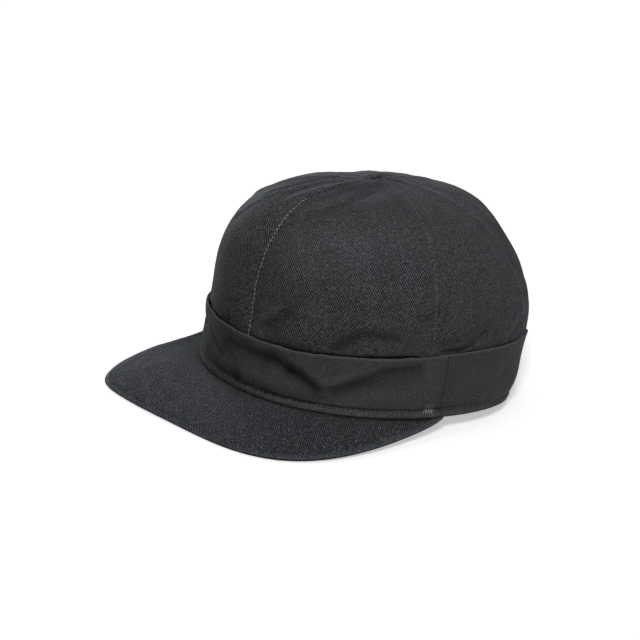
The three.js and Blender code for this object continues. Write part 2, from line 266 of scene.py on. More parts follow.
def fold_depth(folds, angle, height, scales):
    depth = np.zeros(np.broadcast(angle, height).shape)
    for first, last, start, end, mm, spread in folds:
        distance, _ = along_line(angle, height, scales, (first, start), (last, end))
        depth += mm * bell(distance, 0, spread)
    return depth


def crease_depth(creases, angle, height, scales, lip_place=2.2, lip_spread=1.3):
    """Depth of the creases; a lip's place and spread are counted in spreads of its crease"""
    total = np.zeros(np.broadcast(angle, height).shape)
    for line, depth, spread, lip in creases:
        nearest = np.full(total.shape, 1e3)
        upper = np.zeros(total.shape)
        for start, end in zip(line, line[1:]):
            distance, side = along_line(angle, height, scales, start, end)
            upper = np.where(distance < nearest, side * distance, upper)
            nearest = np.minimum(nearest, distance)
        total += depth * bell(nearest, 0, spread)
        total -= lip * bell(upper, lip_place * spread, lip_spread * spread) * (upper > 0)
    return total


def noise(u, v, cell_u, cell_v, seed, columns=97, rows=89):
    """Smooth seeded noise from -1 to 1 over a plane in mm"""
    table = np.random.default_rng(seed).uniform(-1, 1, (columns, rows))
    x, y = np.broadcast_arrays(u / cell_u, v / cell_v)
    i, j = np.floor(x).astype(int), np.floor(y).astype(int)
    x, y = x - i, y - j
    x, y = x * x * (3 - 2 * x), y * y * (3 - 2 * y)
    left, right, low, high = i % columns, (i + 1) % columns, j % rows, (j + 1) % rows
    lower = table[left, low] * (1 - x) + table[right, low] * x
    upper = table[left, high] * (1 - x) + table[right, high] * x
    return lower * (1 - y) + upper * y


def waves(layers, u, v=0):
    """A sum of noise, each layer given by its size, its cells' two lengths in mm and its seed"""
    return sum(mm * noise(u, v, cell_u, cell_v, seed) for mm, cell_u, cell_v, seed in layers)


# The head opening and the band

def signed_power(value, power):
    return np.sign(value) * np.abs(value) ** power


def oval(angle, half_length, half_width, back):
    power = 2 / OVAL_POWER
    x = half_width * signed_power(np.sin(np.radians(angle)), power)
    y = back - half_length * signed_power(np.cos(np.radians(angle)), power)
    return x, y


def edge_point(edge, angle):
    """A point of the band's lower or upper edge"""
    x, y = oval(angle, *edge["plan"])
    lift, pitch, saddle = edge["wave"]
    turn = np.radians(angle)
    z = lift + pitch * np.cos(turn) - saddle * np.cos(2 * turn)
    return np.stack([x, y, np.maximum(0, z)], -1)


def outward(angle):
    ahead_x, ahead_y = oval(angle + 1, *BAND_TOP["plan"])
    behind_x, behind_y = oval(angle - 1, *BAND_TOP["plan"])
    return unit(np.stack([ahead_y - behind_y, behind_x - ahead_x, np.zeros_like(ahead_x)], -1))


# The hem's stitched crease runs higher over the peak. Its depths are humps of mm above it.
HEM_HEIGHT = 0.12
HEM_OVER_PEAK = [(0.05, -30, 22)]
HEM_DEPTHS = [(1.2, 0, 1), (0.35, 0, 4)]
HEM_PUCKERS = [(0.4, 3.2, 14, 5)]
BAND_WAVES = [(0.45, 24, 18, 6), (0.14, 8, 7, 7)]
EDGE_WAVES = [(0.45, 15, 10, 8)]
EDGE_HEIGHTS = [(0.5, 19, 10, 9), (0.25, 5.5, 10, 10)]
CREASE_GAIN = 1.3
CREASE_FADE = 0.7
RISE_UP = 3.3
RISE_OUT = 0.5


def band_face(angle, height, away):
    low, high = edge_point(RIM, angle), edge_point(BAND_TOP, angle)
    return low + (high - low) * height[..., None] - outward(angle) * away[..., None]


def hem_crease_height(angle):
    return HEM_HEIGHT + humps(HEM_OVER_PEAK, wrap(angle))


def band_rise(angle):
    """Where the band's top edge curls up behind the wearer's left side, 0 to 1"""
    return bell(wrap(angle), 124, 11)


def band_folds(angle, height):
    """The broad folds fade out at the edges, apart from the ridges of the upper half"""
    folds = fold_depth(BAND_FOLDS, angle, height, BAND_SCALES)
    return folds * np.where((folds < 0) & (height > 0.5), 1, np.sqrt(arch(height)))


def band_point(angle, height, inset=0):
    """The band's cloth, at an inset from its outer face"""
    angle, height = grid(angle, height)
    inside = clamp(height)
    creases = crease_depth(BAND_CREASES, angle, height, BAND_SCALES) * arch(height) ** CREASE_FADE
    from_crease = (height - hem_crease_height(angle)) * BAND_HEIGHT
    round_mm, up_mm = angle * DEGREE_MM, height * BAND_HEIGHT
    puckers = waves(HEM_PUCKERS, round_mm, up_mm) * np.exp(-((np.abs(from_crease - 1) / 5) ** 1.5))
    away = band_folds(angle, height) + CREASE_GAIN * creases + humps(HEM_DEPTHS, from_crease)
    away += inset - puckers
    away -= waves(BAND_WAVES, round_mm, up_mm) * arch(height) + waves(EDGE_WAVES, round_mm) * inside**6
    away -= FLARE["mm"] * inside ** FLARE["power"]
    away += RISE_OUT * band_rise(angle) * (arch(height) - inside**4)
    point = band_face(angle, height, away)
    point[..., 2] += (waves(EDGE_HEIGHTS, round_mm) + RISE_UP * band_rise(angle)) * inside**3
    point[..., 2] = np.maximum(point[..., 2], 0)
    return point


HIDDEN_HEM = [(1.2, 0.13 * BAND_HEIGHT, 2.5)]
HIDDEN_CLEARANCE = 1.1


def hidden_point(angle, height, inset):
    """The crown's cloth behind the band, clear of the broad folds"""
    angle, height = grid(angle, height)
    away = band_folds(angle, height) + humps(HIDDEN_HEM, height * BAND_HEIGHT) + inset
    return band_face(angle, height, away + HIDDEN_CLEARANCE * arch(height) ** 2)


# The crown's outer face

def gore_puff(angle, height):
    size = np.abs(wrap(angle))
    across = np.zeros(size.shape)
    for start, end in zip(SEAMS, SEAMS[1:]):
        across = np.where((size >= start) & (size <= end), (size - start) / (end - start), across)
    lobe = arch(across) ** GORE_PUFF["across"] - GORE_PUFF["mean"]
    return GORE_PUFF["mm"] * lobe * np.sin(np.pi * height) ** GORE_PUFF["along"]


def crown_point(angle, height):
    """The crown's outer face as in the source, with its panels' swell and main dents"""
    angle, height = grid(angle, height)
    rise = height * height * (3 - 2 * height) * math.pi / 2
    turn = np.radians(angle)
    power = 2 / (PROFILE["mean"] + PROFILE["front"] * np.cos(turn) + PROFILE["ends"] * np.cos(2 * turn))
    base = edge_point(BAND_TOP, angle)
    spread = np.maximum(np.cos(rise), 0) ** power
    lift = np.sin(rise) ** power
    point = APEX + (base - APEX) * spread[..., None]
    point[..., 2] = base[..., 2] + (APEX[2] - base[..., 2]) * lift
    middle = np.stack([0 * angle, 0 * angle + APEX[1], base[..., 2]], -1)
    out = unit(point - middle)
    dents = fold_depth(CROWN_DENTS, angle, height, (DEGREE_MM * spread, CROWN_ARC))
    fade = np.minimum(1, height / TUCK_IN["span"])
    tuck_in = (BAND_CLOTH + GAP) * (1 - fade) ** TUCK_IN["power"]
    return point + out * (gore_puff(angle, height) - dents * fade - tuck_in)[..., None]


def apex_radius(point):
    return np.hypot(point[..., 0], point[..., 1] - APEX[1])


# Relief beside a seam in mm: the edge's roll, the dip beside it, the ridge that it becomes near the
# top, the cloth folded under, ripples, and the laps of the front seam's two sides
FRONT_SEAM = dict(roll=0.45, dip=[(0.35, 0, 3.5)])
OTHER_SEAM = dict(roll=0.2, dip=[(0.1, 0, 3.5)])
SEAM_RIDGE = [(0.7, 0, 1.6)]
BACK_SEAM_RIDGE = [(0.9, 0, 3)]
FOLDED_UNDER = 0.28
RIPPLE = 0.34
LAPS = {1: [(-0.1, 0, 2.4)], -1: [(0.35, 0, 2.4)]}
# Waves of the whole crown, gathers over the band and the hollow over the band's curled-up edge
CROWN_WAVES = [(0.5, 27, 24, 11), (0.2, 10, 9, 12)]
GATHERS = [(0.75, 5.5, 45, 13), (0.45, 12, 30, 14)]
SIDE_HOLLOW = [(1.5, 118, 18)]


def near_top(height):
    """1 at the crown's top, where the seams stand up as ridges"""
    return above(height, 0.8, 0.02)


def crown_scales(radius):
    return np.maximum(radius, 6) * DEGREE, CROWN_ARC


def seam_lip(distance, roll):
    """The turned edge of a panel: it rolls down into the seam"""
    near = roll - np.clip(distance, 0, roll)
    return -(roll - np.sqrt(np.maximum(roll**2 - near**2, 0)))


def seam_detail(seam, side, angle, height, radius):
    """The relief beside one seam; the panel lies on its side 1 (larger angles) or -1"""
    distance = np.maximum(side * (angle - seam) * DEGREE * radius, 0)
    top = near_top(height)
    look = FRONT_SEAM if seam == 0 else OTHER_SEAM
    detail = seam_lip(distance, look["roll"]) * (1 - top) - humps(look["dip"], distance)
    detail += humps(SEAM_RIDGE, distance) * top * clamp((radius - 3) / 8)
    detail += FOLDED_UNDER * below(distance, 7, 0.5)
    ripple = noise(height * CROWN_ARC, 0, 3.4, 1, 20 + abs(int(seam)))
    detail += RIPPLE * ripple * np.exp(-distance / 3.5)
    if abs(seam) == SEAMS[2]:
        detail += humps(BACK_SEAM_RIDGE, distance)
    if seam == 0:
        detail += humps(LAPS[side], distance) * (1 - top)
    return detail


def crown_detail(span, angle, height, radius):
    """Relief of the crown in mm: seams, puckers, creases and waves"""
    start, end = span
    round_mm, up_mm = angle * DEGREE_MM, height * CROWN_ARC
    detail = seam_detail(start, 1, angle, height, radius) + seam_detail(end, -1, angle, height, radius)
    detail += waves(CROWN_WAVES, round_mm, up_mm) * (1 - bell(np.abs(angle), 180, 8))
    detail += waves(GATHERS, round_mm, up_mm) * np.exp(-up_mm / 7)
    detail -= humps(SIDE_HOLLOW, wrap(angle)) * bell(up_mm, 0, 11)
    return detail - crease_depth(CROWN_CREASES, angle, height, crown_scales(radius))


def apex_crease(point, creases):
    """Depth of the puckers where the panels' tips meet, in plan about the apex"""
    x, y = point[..., 0] - APEX[0], point[..., 1] - APEX[1]
    return crease_depth(creases, x, y, (1, 1)) * (point[..., 2] > 90)


def crown_surface(span, angle, height):
    """Points and normals of a panel's outer face, all details included"""
    angle, height = grid(angle, height)
    point, normal = crown_point(angle, height), face_normal(crown_point, angle, height, 0.8, 0.006)
    detail = crown_detail(span, angle, height, apex_radius(point)) * clamp(height / 0.006)
    detail -= apex_crease(point, APEX_CREASES)
    return point + normal * detail[..., None], normal


# Meshes

def add_object(name, data):
    made = bpy.data.objects.new(name, data)
    bpy.context.collection.objects.link(made)
    return made


def make_mesh(name, points, faces, cloth, attributes):
    mesh = bpy.data.meshes.new(name)
    points = (points.reshape(-1, 3) - np.array([0, MIDDLE_Y, 0])) * MM
    mesh.from_pydata(points.tolist(), [], faces.tolist())
    for title, values in attributes.items():
        kind, key = ("FLOAT_VECTOR", "vector") if values.ndim == 3 else ("FLOAT", "value")
        layer = mesh.attributes.new(title, kind, "POINT")
        layer.data.foreach_set(key, values.reshape(-1).astype(np.float32))
    mesh.materials.append(cloth)
    mesh.shade_smooth()
    mesh.set_sharp_from_angle(angle=math.radians(50))
    return add_object(name, mesh)


def pattern(across, along, layer):
    """Places on the cloth in mm; the layer sets the pieces' patterns apart"""
    return np.stack(np.broadcast_arrays(across, along, float(layer)), -1)


def join(*parts):
    return np.concatenate(parts, axis=1)


def there_and_back(outer, inner):
    return join(outer, inner[:, ::-1])


def dress(piece, slot, *nodes):
    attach(piece, BODY)
    if nodes:
        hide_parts(*nodes)


def cloth_solid(node, slot, twill_look, outer, inner, cloth, wear_and_painted_light):
    """A closed solid between two faces, in place of a node. Its rings of points run out along the
    outer face and back on the inner one; only the outer one carries wear and painted light."""
    rings = there_and_back(outer, inner)
    columns, ring = rings.shape[:2]
    index = np.arange(columns * ring).reshape(columns, ring)
    after = np.roll(index, -1, axis=1)
    quads = np.stack([index[:-1], index[1:], after[1:], after[:-1]], -1).reshape(-1, 4)
    first = np.arange(ring // 2 - 1)
    last = first + (columns - 1) * ring
    back = ring - 1 - first
    far = back + (columns - 1) * ring
    caps = [np.stack([first, first + 1, back - 1, back], -1), np.stack([last, far, far - 1, last + 1], -1)]
    attributes = dict(cloth_mm=there_and_back(cloth, cloth), wear_and_painted_light=there_and_back(wear_and_painted_light, 0 * wear_and_painted_light))
    piece = make_mesh(node + "_cloth", rings, np.concatenate([quads, *caps]), twill_look, attributes)
    dress(piece, slot, node)


def spaced(length, fine, coarse, growth=1.3):
    """Fractions of a length whose steps grow from fine at both ends to coarse in the middle"""
    steps = []
    step = fine
    while step < coarse and 2 * sum(steps) < length:
        steps.append(step)
        step *= growth
    middle = max(int(round((length - 2 * sum(steps)) / coarse)), 1)
    rest = (length - 2 * sum(steps)) / middle
    marks = np.cumsum([0, *steps, *([rest] * middle), *reversed(steps)])
    return marks / marks[-1]


# Materials

def add_node(tree, kind, inputs=None, **settings):
    made = tree.nodes.new(kind)
    for key, value in settings.items():
        setattr(made, key, value)
    for socket, value in (inputs or {}).items():
        if isinstance(value, bpy.types.NodeSocket):
            tree.links.new(value, made.inputs[socket])
        else:
            made.inputs[socket].default_value = value
    return made


def blend(tree, factor, first, second):
    inputs = {"Factor": factor, "A": first, "B": second}
    return add_node(tree, "ShaderNodeMix", inputs, data_type="RGBA", clamp_factor=True).outputs["Result"]


def new_shader(name, sockets):
    material = bpy.data.materials.new(name)
    material.use_nodes = True
    shader = material.node_tree.nodes["Principled BSDF"]
    for socket, value in sockets.items():
        shader.inputs[socket].default_value = value
    return material, material.node_tree, shader


def opaque(values):
    return (*values, 1)


CLOTH_SOCKETS = {
    "Specular IOR Level": 0.12,
    "Sheen Weight": 0.07,
    "Sheen Roughness": 0.35,
    "Sheen Tint": (0.85, 0.92, 1, 1),
}
WOBBLE_MM = (1.1, 1.1, 0)
# Wear and painted light: above 0 pales the cloth as wear and painted highlight, below 0 darkens it as
# painted shade
PALING = 0.55
PALE_GAIN = 4.2
DARKENING = 0.85
FIBRE_COLOUR = (0.2, 0.21, 0.23, 1)
PAINTED_SHADE_COLOUR = (0.0015, 0.0015, 0.0016, 1)
BUMP_MM = 0.35


def twill(name, light, dark, wale=(0.766, 0.643), period=1.23, float_mm=1.2, contrast=2.2, speck=0.2,
          grain=0.9, flecks=-4, lint_from=0.83, mottle=0):
    """Twill cloth whose wales cross the wale direction, paler where worn and where highlight is painted,
    darker where shade is painted
    """
    material, tree, shader = new_shader(name, CLOTH_SOCKETS)

    def node(kind, inputs=None, **settings):
        return add_node(tree, kind, inputs, **settings)

    def calc(operation, first, second=0, third=0):
        return node("ShaderNodeMath", {0: first, 1: second, 2: third}, operation=operation).outputs[0]

    def texture(place, scale, detail=0, output="Fac"):
        inputs = {"Vector": place, "Scale": scale, "Detail": detail}
        return node("ShaderNodeTexNoise", inputs).outputs[output]

    def dot(vector, weights):
        inputs = {0: vector, 1: weights}
        return node("ShaderNodeVectorMath", inputs, operation="DOT_PRODUCT").outputs["Value"]

    def swing(tone, value, strength, middle=0.5):
        """Adds a value that swings about its middle to the tone"""
        return calc("MULTIPLY_ADD", calc("SUBTRACT", value, middle), strength, tone)

    cloth = node("ShaderNodeAttribute", attribute_name="cloth_mm").outputs["Vector"]
    wear_and_painted_light = node("ShaderNodeAttribute", attribute_name="wear_and_painted_light").outputs["Fac"]
    wobble = {0: texture(cloth, 0.16, 2, "Color"), 1: WOBBLE_MM, 2: cloth}
    place = node("ShaderNodeVectorMath", wobble, operation="MULTIPLY_ADD").outputs[0]
    row = dot(place, (wale[0] / period, wale[1] / period, 0))
    run = dot(place, (-wale[1] / float_mm, wale[0] / float_mm, 0))
    ridge = calc("MULTIPLY_ADD", calc("COSINE", calc("MULTIPLY", row, 2 * math.pi)), 0.5, 0.5)
    lattice = node("ShaderNodeCombineXYZ", {"X": row, "Y": run}).outputs[0]
    cells = node("ShaderNodeTexVoronoi", {"Vector": lattice, "Scale": 1, "Randomness": 0.4},
                 voronoi_dimensions="2D", feature="F1")
    floats = calc("SUBTRACT", 1, cells.outputs["Distance"])
    tint = node("ShaderNodeSeparateColor", {"Color": cells.outputs["Color"]}).outputs["Red"]
    yarn = texture(place, 2.4, 2)
    weave = calc("ADD", calc("MULTIPLY", ridge, 0.68), calc("MULTIPLY", floats, 0.32))
    tone = swing(0.42, weave, contrast)
    tone = swing(tone, calc("POWER", tint, 3), 0.5, middle=0.25)
    tone = swing(tone, yarn, 0.6)
    tone = swing(tone, texture(place, 1.7), grain)
    tone = swing(tone, texture(cloth, 0.05, 4), 0.6)
    tone = swing(tone, texture(place, 0.85), mottle)
    brighter = opaque(2 * high - low for high, low in zip(light, dark))
    colour = blend(tree, calc("MULTIPLY", tone, 0.5), opaque(dark), brighter)
    lint_wear_and_highlight = calc("SMOOTH_MAX", calc("MULTIPLY_ADD", texture(place, 1.5, 1), 6, flecks), 0, 0.1)
    lint_wear_and_highlight = calc("MINIMUM", calc("MULTIPLY", lint_wear_and_highlight, speck), 0.6)
    # Positive values pale the cloth as wear and painted highlight
    lint_wear_and_highlight = calc("ADD", lint_wear_and_highlight, calc("MULTIPLY", calc("MAXIMUM", wear_and_painted_light, 0), PALING))
    colour = blend(tree, lint_wear_and_highlight, colour, opaque(min(1, PALE_GAIN * value) for value in light))
    fibres = calc("MULTIPLY", calc("SUBTRACT", texture(place, 1.25), lint_from), 12)
    colour = blend(tree, fibres, colour, FIBRE_COLOUR)
    # Negative values darken the cloth towards black as painted shade
    hollow = calc("MULTIPLY", calc("MINIMUM", wear_and_painted_light, 0), -DARKENING)
    colour = blend(tree, hollow, colour, PAINTED_SHADE_COLOUR)
    tree.links.new(colour, shader.inputs["Base Color"])
    relief = calc("ADD", weave, calc("MULTIPLY", yarn, 0.5))
    raised = node("ShaderNodeBump", {"Height": relief, "Strength": 0.6, "Distance": BUMP_MM * MM})
    tree.links.new(raised.outputs[0], shader.inputs["Normal"])
    tree.links.new(calc("MULTIPLY_ADD", weave, -0.08, 0.93), shader.inputs["Roughness"])
    return material


def thread(name, colour):
    """Twisted sewing thread, with painted shade between its strands"""
    material, tree, shader = new_shader(name, {"Roughness": 0.7, "Specular IOR Level": 0.3})
    place = add_node(tree, "ShaderNodeAttribute", attribute_name="cloth_mm").outputs["Vector"]
    inputs = {"Vector": place, "Scale": 1.6, "Distortion": 0.6}
    strands = add_node(tree, "ShaderNodeTexWave", inputs, bands_direction="DIAGONAL").outputs["Fac"]
    mixed = blend(tree, strands, opaque(0.45 * value for value in colour), opaque(colour))
    tree.links.new(mixed, shader.inputs["Base Color"])
    bump = {"Height": strands, "Strength": 0.5, "Distance": 0.2 * MM}
    tree.links.new(add_node(tree, "ShaderNodeBump", bump).outputs[0], shader.inputs["Normal"])
    return material


CROWN_TWILL = twill("crown_twill", (0.033, 0.0336, 0.0352), (0.0042, 0.0043, 0.0045),
                    contrast=2.35, grain=2.8)
FUZZY_TWILL = twill("crown_twill_fuzzy", (0.0335, 0.0343, 0.0352), (0.0045, 0.0046, 0.0047),
                    contrast=2.4, grain=4.4, mottle=1.6)
BAND_TWILL = twill("band_twill", (0.0302, 0.0304, 0.0307), (0.0039, 0.0039, 0.004),
                   wale=(0.72, 0.694), period=1.05, contrast=3.6, grain=2.1)
PEAK_TWILL = twill("peak_twill", (0.017, 0.0175, 0.0184), (0.0016, 0.0017, 0.0019),
                   wale=(0.819, 0.574), period=1.15, contrast=3.8, speck=2.4, grain=3.6,
                   flecks=-3.7, lint_from=0.75, mottle=3.6)
BINDING_TWILL = twill("binding_twill", (0.04, 0.0435, 0.048), (0.007, 0.0078, 0.0095),
                      wale=(0.66, 0.751), period=1.5, contrast=1.3, speck=0.8)
LINING_TWILL = twill("lining_twill", (0.012, 0.0123, 0.0135), (0.004, 0.0041, 0.0046), speck=0.1)
LIGHT_THREAD = thread("light_thread", (0.22, 0.225, 0.24))
GREY_THREAD = thread("grey_thread", (0.1, 0.103, 0.112))
DARK_THREAD = thread("dark_thread", (0.06, 0.061, 0.065))

LAYERS = dict(band=7, cover=3, lining=5, binding=9)


# The crown's panels

# Panels are drawn nearly closed at the seams
SEAM_GAP = 0.04
TIP_RADIUS = 0.2
TIP_HEIGHT = 0.995
PANEL_STEPS = 0.25, 1.7
# Heights on the band of the panel's hidden rows, and low rows whose steps grow
HIDDEN_ROWS = np.array([[0.13, 0.3, 0.46, 0.62, 0.78, 0.9]])
LOWEST_ROWS = 0.001 * np.cumsum([0, *range(4, 11)])
CROWN_ROWS = np.concatenate([LOWEST_ROWS, np.linspace(0.06, TIP_HEIGHT, 104)])[None, :]
# Wear with painted highlight beside the seams, painted shade at the front one and painted highlight along
# the ridges at the top, by mm, and painted shade in the valley beside the band's curled-up stretch, by
# degrees
SEAM_EDGE_WEAR_AND_HIGHLIGHT = [(0.05, 0.8, 0.7)]
FRONT_SEAM_SHADE = [(-0.15, 0, 0.35)]
RIDGE_HIGHLIGHT = [(0.22, 0, 1.1)]
VALLEY_SHADE = [(-0.85, 110, 24)]
# Painted shade in the crown's creases and painted highlight on its ridges
CROWN_CREASE_SHADING = 0.25
# Painted shadow over the band's top edge, where the crown tucks behind it
OVER_BAND_SHADOW = 0.9

PANELS = {}
THIRDS = list(zip(("front", "side", "back"), SEAMS, SEAMS[1:]))
for third, start, end in THIRDS:
    PANELS[f"crown_{third}_left"] = (start, end)
for third, start, end in reversed(THIRDS):
    PANELS[f"crown_{third}_right"] = (-end, -start)


def inside_panel(span, across, radius):
    start, end = span
    clear = np.degrees(SEAM_GAP / 2 / np.maximum(radius, TIP_RADIUS))
    return start + clear + (end - start - 2 * clear) * across


def crown_wear_and_painted_light(span, angle, level, run, point):
    """Wear and painted light of a panel: paler seam edges, partly wear and partly painted highlight,
    painted highlight on ridges, and painted shade in creases, at the front seam, over the band and in
    hollows
    """
    start, end = span
    radius = apex_radius(point)
    scales = crown_scales(radius)
    edge = np.minimum(angle - start, end - angle) * DEGREE * radius
    # Paler seam edges, partly wear and partly painted highlight; painted highlight on the ridges at the
    # top
    wear_and_painted_light = humps(SEAM_EDGE_WEAR_AND_HIGHLIGHT, edge) + humps(RIDGE_HIGHLIGHT, edge) * near_top(level)
    if 0 in span:
        # Painted shade in the front seam's valley
        wear_and_painted_light += humps(FRONT_SEAM_SHADE, edge)
    # Painted shade in creases, painted highlight on ridges
    wear_and_painted_light -= CROWN_CREASE_SHADING * np.clip(crease_depth(CROWN_CREASES, angle, level, scales), -1, 1)
    rise = band_rise(angle)
    over_band = run - RISE_UP * rise
    # Painted shadow over the band's top edge and painted shade in the valley beside its curled-up stretch
    wear_and_painted_light -= OVER_BAND_SHADOW * np.exp(-np.maximum(over_band, 0) / (3 + 1.5 * rise))
    wear_and_painted_light += humps(VALLEY_SHADE, wrap(angle)) * bell(over_band, 0, 3.2)
    # Painted shade and highlight from the shade table, and painted shade along the apex pucker
    return wear_and_painted_light - fold_depth(CROWN_SHADES, angle, level, scales) - apex_crease(point, APEX_SHADE)


def build_panel(name, span):
    start, end = span
    middle = (start + end) / 2
    across = spaced((end - start) * DEGREE_MM, *PANEL_STEPS)[:, None]
    low_angle = inside_panel(span, across, np.full_like(HIDDEN_ROWS, RIM["plan"][1]))
    centre = crown_point(middle, CROWN_ROWS)
    angle = inside_panel(span, across, apex_radius(centre))
    outer, normal = crown_surface(span, angle, CROWN_ROWS)
    plain = crown_point(angle, CROWN_ROWS)
    inner = (plain + outer) / 2 - normal * CROWN_CLOTH
    clear = BAND_CLOTH + GAP
    outer = join(hidden_point(low_angle, HIDDEN_ROWS, clear), outer)
    inner = join(hidden_point(low_angle, HIDDEN_ROWS, clear + CROWN_CLOTH), inner)
    angle = join(low_angle, angle)
    level = join(0 * HIDDEN_ROWS, CROWN_ROWS) + 0 * angle
    run = join((HIDDEN_ROWS - 1) * BAND_HEIGHT, run_length(centre, 1)) + 0 * angle
    lengths = run_length(outer, 0)
    cloth = pattern(lengths - lengths[-1:] / 2 + middle, run, middle)
    wear_and_painted_light = crown_wear_and_painted_light(span, angle, level, run, outer)
    twill_look = CROWN_TWILL if name == "crown_front_left" else FUZZY_TWILL
    cloth_solid(name, "crown_twill", twill_look, outer, inner, cloth, wear_and_painted_light)


for name, span in PANELS.items():
    build_panel(name, span)


# The band's two lengths, doubled strips with rounded folds at top and hem

BAND_STEPS = 0.3, 1.35
# Directions of the rows on the rounded folds, and the height up to which rows lie close
ROLLED = np.radians([75, 50, 25, 0])
CLOSE_UP_TO = 0.24
# Painted highlight on the top edge and painted shade on the lowest edge, by mm, and the unevenness of the
# hem's painted highlight and shade line
EDGE_HIGHLIGHT_AND_SHADE = [(0.2, BAND_HEIGHT, 0.9), (-0.6, 0, 0.5)]
HEM_LIGHT_UNEVENNESS = [(1, 5, 9, 61), (0.5, 1.6, 2, 62)]
# The painted shade line over the hem's crease: share, height and spread, and what the front adds to them
HEM_LINE = (0.65, 0.3, 1.1)
FRONT_HEM_LINE = (0.25, 0.6, 0.7)
CREASE_SHADE = 0.35


def band_rows():
    """Heights of the rows from hem to top, and how far each is turned in"""
    thick = BAND_CLOTH / 2
    margin = thick / BAND_HEIGHT
    hem = margin * (1 - np.sin(ROLLED))
    flat = [np.linspace(margin, CLOSE_UP_TO, 12)[1:], np.linspace(CLOSE_UP_TO, 1 - margin, 26)[1:-1]]
    flat = np.concatenate(flat)
    turned_in = thick * (1 - np.cos(ROLLED))
    heights = np.concatenate([hem, flat, 1 - hem[::-1]])
    return heights, np.concatenate([turned_in, 0 * flat, turned_in[::-1]])


def band_painted_light(angle, height):
    """Painted light of the band: painted highlight on its top edge and uneven hem, painted shade on its
    lowest edge, in a line over the hem's crease and in its hollows
    """
    up_mm = height * BAND_HEIGHT
    from_crease = (height - hem_crease_height(angle)) * BAND_HEIGHT
    uneven = waves(HEM_LIGHT_UNEVENNESS, angle * DEGREE_MM, up_mm)
    # Painted highlight on the top edge and, unevenly, on the hem's roll; painted shade on the lowest edge
    wear_and_painted_light = humps(EDGE_HIGHLIGHT_AND_SHADE, up_mm) + (0.06 + 0.14 * uneven) * below(from_crease, -0.9, 0.3)
    front = bell(wrap(angle), -6, 30)
    share, up, spread = (here + more * front for here, more in zip(HEM_LINE, FRONT_HEM_LINE))
    # Painted shade line over the hem's crease
    wear_and_painted_light -= (share + 0.4 * uneven) * bell(from_crease, up, spread)
    # Painted shade in the band's hollows and creases
    hollows = fold_depth(BAND_SHADES, angle, height, BAND_SCALES)
    hollows += CREASE_SHADE * crease_depth(BAND_CREASES, angle, height, BAND_SCALES)
    return wear_and_painted_light - hollows * np.sqrt(arch(height))


def build_band(name, start, end):
    clear = math.degrees(GAP / 2 / RIM["plan"][1])
    across = spaced((end - start) * DEGREE_MM, *BAND_STEPS)
    angle = (start + clear + (end - start - 2 * clear) * across)[:, None]
    height, turned_in = (row[None, :] for row in band_rows())
    outer = band_point(angle, height, turned_in)
    inner = band_point(angle, height, BAND_CLOTH - turned_in)
    cloth = pattern(angle * DEGREE_MM, height * BAND_HEIGHT, LAYERS["band"])
    cloth_solid(name, "band_twill", BAND_TWILL, outer, inner, cloth, band_painted_light(angle, height))


build_band("band_front", -JOINT, JOINT)
build_band("band_back", JOINT, 360 - JOINT)


# The peak: covered board, thin lining and the strip folded round its edge

# In mm by degrees: the corner on the wearer's right is drawn out, the edge there and the left end
# are lifted
CORNER_OUT = [(1.8, -23.5, 6)]
EDGE_LIFTS = [(2.4, -50, 15), (2.8, -69, 8)]
END_LIFT = [(0.4, 78, 9)]
BUCKLES = [(0.3, 30, 22, 31), (0.1, 9, 8, 32)]
# The share by which the ends are thinned under the band, and where that starts
THINNED = 0.65
THINNED_FROM = 70


def peak_edge(angle):
    """The free edge at the direction that belongs to an angle of the head opening"""
    end = edge_point(RIM, np.array(float(PEAK["end"])))
    front = end[1] + RIM["plan"][0] + PEAK["reach"]
    direction = np.radians(angle * 90 / PEAK["end"])
    ahead, aside = np.cos(direction), np.sin(direction)
    power = PEAK["power"]
    share = (np.abs(ahead) / front) ** power + (np.abs(aside) / PEAK["half_width"]) ** power
    radius = share ** (-1 / power)
    along = 1 - radius * ahead / front
    narrowing = 1 - (1 - end[0] / PEAK["half_width"]) * along ** PEAK["tuck"]
    low = PEAK_RIM / 2 + GAP + BINDING
    z = low + (end[2] - GAP - PEAK_COVER / 2 - low) * along ** PEAK["droop"]
    return np.stack([radius * aside * narrowing, end[1] - radius * ahead, z], -1)


def peak_root(angle):
    return edge_point(RIM, angle) - outward(angle) * BAND_CLOTH


def peak_length(angle):
    across = peak_edge(angle) - peak_root(angle)
    return np.hypot(across[..., 0], across[..., 1])


def peak_point(angle, inset, side, away):
    """A point at an inset from the free edge, above (1) or below (-1) the board and away from it"""
    angle, inset = grid(angle, inset)
    root, edge = peak_root(angle), peak_edge(angle)
    root[..., 2] -= GAP + PEAK_COVER / 2
    length = peak_length(angle)
    row = 1 - inset / length
    row = row + humps(CORNER_OUT, angle) / length * clamp(row) ** 3
    share = clamp((inset - RIM_INSET) / (PEAK["thinning"] - RIM_INSET))
    half = (PEAK_RIM + (PEAK_COVER - PEAK_RIM) * share * share * (3 - 2 * share)) / 2
    point = root + (edge - root) * row[..., None]
    thin = THINNED * clamp((np.abs(angle) - THINNED_FROM) / (PEAK["end"] - THINNED_FROM)) ** 2
    point[..., 2] += 4 * row * (1 - row) * PEAK["dome"] * length + side * (half + away) * (1 - thin)
    point[..., 2] += thin * PEAK_COVER / 2
    buckles = waves(BUCKLES, point[..., 0], point[..., 1])
    point[..., 2] += buckles * clamp(inset / 12) * clamp(row * 3)
    point[..., 2] += humps(END_LIFT, angle) + humps(EDGE_LIFTS, angle) * clamp(row) ** 2
    return point


def peak_angles(end, count):
    """A column of angles from the wearer's left to the right"""
    return np.linspace(end, -end, count)[:, None]


def on_left(angle):
    """1 from the wearer's left to past the front, 0 on the wearer's right"""
    return above(angle, -27, 2)


